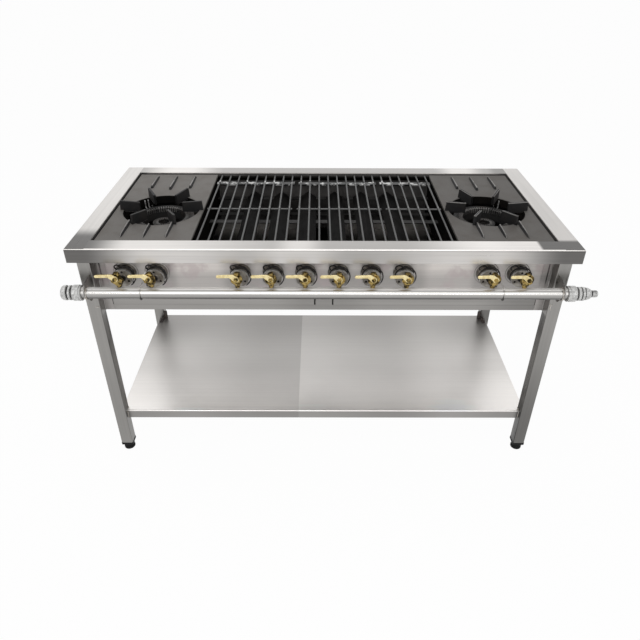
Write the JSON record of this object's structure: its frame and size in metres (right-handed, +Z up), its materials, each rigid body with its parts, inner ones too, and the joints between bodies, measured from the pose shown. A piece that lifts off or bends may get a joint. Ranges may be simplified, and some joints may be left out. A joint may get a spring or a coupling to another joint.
{
  "type": "industrial gas range",
  "caption": "Free-standing stainless gas range with a bar grill between two ring burners, brass lever valves along a front gas pipe, pull-out drip trays and a lower shelf.",
  "frame": {"origin": "on the floor under the middle of the top frame", "axes": "+X along the width to the viewer's right, +Y to the back, +Z up; the control panel faces -Y"},
  "size_m": [1.582, 0.7465, 0.851],
  "materials": {
    "stainless": "brushed",
    "polished_pipe": "polished",
    "dull_fitting": "galvanised",
    "plate_iron": "as cast",
    "grill_iron": "plain round bar",
    "burner_iron": "as cast",
    "valve_brass": "machined",
    "lever_brass": "satin",
    "shutter_steel": "satin",
    "dark_sheet": "heat-stained",
    "black_plastic": "moulded"
  },
  "bodies": {
    "frame": {"front_rail": "stainless", "back_rail": "stainless", "left_rail": "stainless", "right_rail": "stainless", "front_left_leg": "stainless", "front_right_leg": "stainless", "back_left_leg": "stainless", "back_right_leg": "stainless", "lower_shelf": "stainless", "left_side_panel": "stainless", "right_side_panel": "stainless", "back_panel": "stainless", "control_panel": "stainless", "tray_rail": "stainless", "tray_runners": "stainless", "divider_panels": "stainless", "support_ledges": "stainless", "pipe_supports": "stainless", "leg_plugs": "black_plastic", "cross_bars": "dark_sheet", "heat_deflectors": "dark_sheet", "grill_burners": "burner_iron", "left_ring_burner": "burner_iron", "right_ring_burner": "burner_iron", "manifold_pipe": "polished_pipe", "pipe_couplings": "dull_fitting", "end_plug": "dull_fitting", "gas_inlet": "dull_fitting", "valve_bodies": "valve_brass"},
    "lever_1_body": {"lever_1": "lever_brass"},
    "lever_2_body": {"lever_2": "lever_brass"},
    "lever_3_body": {"lever_3": "lever_brass"},
    "lever_4_body": {"lever_4": "lever_brass"},
    "lever_5_body": {"lever_5": "lever_brass"},
    "lever_6_body": {"lever_6": "lever_brass"},
    "lever_7_body": {"lever_7": "lever_brass"},
    "lever_8_body": {"lever_8": "lever_brass"},
    "lever_9_body": {"lever_9": "lever_brass"},
    "lever_10_body": {"lever_10": "lever_brass"},
    "air_shutter_1_body": {"air_shutter_1": "shutter_steel"},
    "air_shutter_2_body": {"air_shutter_2": "shutter_steel"},
    "air_shutter_3_body": {"air_shutter_3": "shutter_steel"},
    "air_shutter_4_body": {"air_shutter_4": "shutter_steel"},
    "air_shutter_5_body": {"air_shutter_5": "shutter_steel"},
    "air_shutter_6_body": {"air_shutter_6": "shutter_steel"},
    "air_shutter_7_body": {"air_shutter_7": "shutter_steel"},
    "air_shutter_8_body": {"air_shutter_8": "shutter_steel"},
    "air_shutter_9_body": {"air_shutter_9": "shutter_steel"},
    "air_shutter_10_body": {"air_shutter_10": "shutter_steel"},
    "left_drip_tray_body": {"left_drip_tray": "stainless"},
    "right_drip_tray_body": {"right_drip_tray": "stainless"},
    "left_burner_plate_body": {"left_burner_plate": "plate_iron"},
    "right_burner_plate_body": {"right_burner_plate": "plate_iron"},
    "left_grate_body": {"left_grate": "grill_iron"},
    "middle_grate_body": {"middle_grate": "grill_iron"},
    "right_grate_body": {"right_grate": "grill_iron"},
    "front_left_foot_body": {"front_left_foot": "black_plastic"},
    "front_right_foot_body": {"front_right_foot": "black_plastic"},
    "back_left_foot_body": {"back_left_foot": "black_plastic"},
    "back_right_foot_body": {"back_right_foot": "black_plastic"}
  },
  "joints": [
    {"name": "lever_1_turn", "type": "hinge", "parent": "frame", "child": "lever_1_body", "pos_m": [-0.605, -0.3889, 0.748], "axis": [0, 1, 0], "range_deg": [0, 90]},
    {"name": "lever_2_turn", "type": "hinge", "parent": "frame", "child": "lever_2_body", "pos_m": [-0.51, -0.3889, 0.748], "axis": [0, 1, 0], "range_deg": [0, 90]},
    {"name": "lever_3_turn", "type": "hinge", "parent": "frame", "child": "lever_3_body", "pos_m": [-0.25675, -0.3889, 0.748], "axis": [0, 1, 0], "range_deg": [0, 90]},
    {"name": "lever_4_turn", "type": "hinge", "parent": "frame", "child": "lever_4_body", "pos_m": [-0.15725, -0.3889, 0.748], "axis": [0, 1, 0], "range_deg": [0, 90]},
    {"name": "lever_5_turn", "type": "hinge", "parent": "frame", "child": "lever_5_body", "pos_m": [-0.05775, -0.3889, 0.748], "axis": [0, 1, 0], "range_deg": [0, 90]},
    {"name": "lever_6_turn", "type": "hinge", "parent": "frame", "child": "lever_6_body", "pos_m": [0.04175, -0.3889, 0.748], "axis": [0, 1, 0], "range_deg": [0, 90]},
    {"name": "lever_7_turn", "type": "hinge", "parent": "frame", "child": "lever_7_body", "pos_m": [0.14125, -0.3889, 0.748], "axis": [0, 1, 0], "range_deg": [0, 90]},
    {"name": "lever_8_turn", "type": "hinge", "parent": "frame", "child": "lever_8_body", "pos_m": [0.24075, -0.3889, 0.748], "axis": [0, 1, 0], "range_deg": [0, 90]},
    {"name": "lever_9_turn", "type": "hinge", "parent": "frame", "child": "lever_9_body", "pos_m": [0.494, -0.3889, 0.748], "axis": [0, 1, 0], "range_deg": [0, 90]},
    {"name": "lever_10_turn", "type": "hinge", "parent": "frame", "child": "lever_10_body", "pos_m": [0.589, -0.3889, 0.748], "axis": [0, 1, 0], "range_deg": [0, 90]},
    {"name": "air_shutter_1_turn", "type": "hinge", "parent": "frame", "child": "air_shutter_1_body", "pos_m": [-0.605, -0.327, 0.717], "axis": [0, 1, 0], "range_deg": [-30, 30]},
    {"name": "air_shutter_2_turn", "type": "hinge", "parent": "frame", "child": "air_shutter_2_body", "pos_m": [-0.51, -0.327, 0.717], "axis": [0, 1, 0], "range_deg": [-30, 30]},
    {"name": "air_shutter_3_turn", "type": "hinge", "parent": "frame", "child": "air_shutter_3_body", "pos_m": [-0.25675, -0.327, 0.717], "axis": [0, 1, 0], "range_deg": [-30, 30]},
    {"name": "air_shutter_4_turn", "type": "hinge", "parent": "frame", "child": "air_shutter_4_body", "pos_m": [-0.15725, -0.327, 0.717], "axis": [0, 1, 0], "range_deg": [-30, 30]},
    {"name": "air_shutter_5_turn", "type": "hinge", "parent": "frame", "child": "air_shutter_5_body", "pos_m": [-0.05775, -0.327, 0.717], "axis": [0, 1, 0], "range_deg": [-30, 30]},
    {"name": "air_shutter_6_turn", "type": "hinge", "parent": "frame", "child": "air_shutter_6_body", "pos_m": [0.04175, -0.327, 0.717], "axis": [0, 1, 0], "range_deg": [-30, 30]},
    {"name": "air_shutter_7_turn", "type": "hinge", "parent": "frame", "child": "air_shutter_7_body", "pos_m": [0.14125, -0.327, 0.717], "axis": [0, 1, 0], "range_deg": [-30, 30]},
    {"name": "air_shutter_8_turn", "type": "hinge", "parent": "frame", "child": "air_shutter_8_body", "pos_m": [0.24075, -0.327, 0.717], "axis": [0, 1, 0], "range_deg": [-30, 30]},
    {"name": "air_shutter_9_turn", "type": "hinge", "parent": "frame", "child": "air_shutter_9_body", "pos_m": [0.494, -0.327, 0.717], "axis": [0, 1, 0], "range_deg": [-30, 30]},
    {"name": "air_shutter_10_turn", "type": "hinge", "parent": "frame", "child": "air_shutter_10_body", "pos_m": [0.589, -0.327, 0.717], "axis": [0, 1, 0], "range_deg": [-30, 30]},
    {"name": "left_drip_tray_slide", "type": "slide", "parent": "frame", "child": "left_drip_tray_body", "axis": [0, -1, 0], "range_m": [0, 0.45]},
    {"name": "right_drip_tray_slide", "type": "slide", "parent": "frame", "child": "right_drip_tray_body", "axis": [0, -1, 0], "range_m": [0, 0.45]},
    {"name": "left_burner_plate_lift", "type": "slide", "parent": "frame", "child": "left_burner_plate_body", "axis": [0, 0, 1], "range_m": [0, 0.25]},
    {"name": "right_burner_plate_lift", "type": "slide", "parent": "frame", "child": "right_burner_plate_body", "axis": [0, 0, 1], "range_m": [0, 0.25]},
    {"name": "left_grate_lift", "type": "slide", "parent": "frame", "child": "left_grate_body", "axis": [0, 0, 1], "range_m": [0, 0.25]},
    {"name": "middle_grate_lift", "type": "slide", "parent": "frame", "child": "middle_grate_body", "axis": [0, 0, 1], "range_m": [0, 0.25]},
    {"name": "right_grate_lift", "type": "slide", "parent": "frame", "child": "right_grate_body", "axis": [0, 0, 1], "range_m": [0, 0.25]},
    {"name": "front_left_foot_screw", "type": "hinge", "parent": "frame", "child": "front_left_foot_body", "pos_m": [-0.712, -0.31, 0.025], "axis": [0, 0, 1], "continuous": true},
    {"name": "front_right_foot_screw", "type": "hinge", "parent": "frame", "child": "front_right_foot_body", "pos_m": [0.712, -0.31, 0.025], "axis": [0, 0, 1], "continuous": true},
    {"name": "back_left_foot_screw", "type": "hinge", "parent": "frame", "child": "back_left_foot_body", "pos_m": [-0.712, 0.31, 0.025], "axis": [0, 0, 1], "continuous": true},
    {"name": "back_right_foot_screw", "type": "hinge", "parent": "frame", "child": "back_right_foot_body", "pos_m": [0.712, 0.31, 0.025], "axis": [0, 0, 1], "continuous": true}
  ]
}
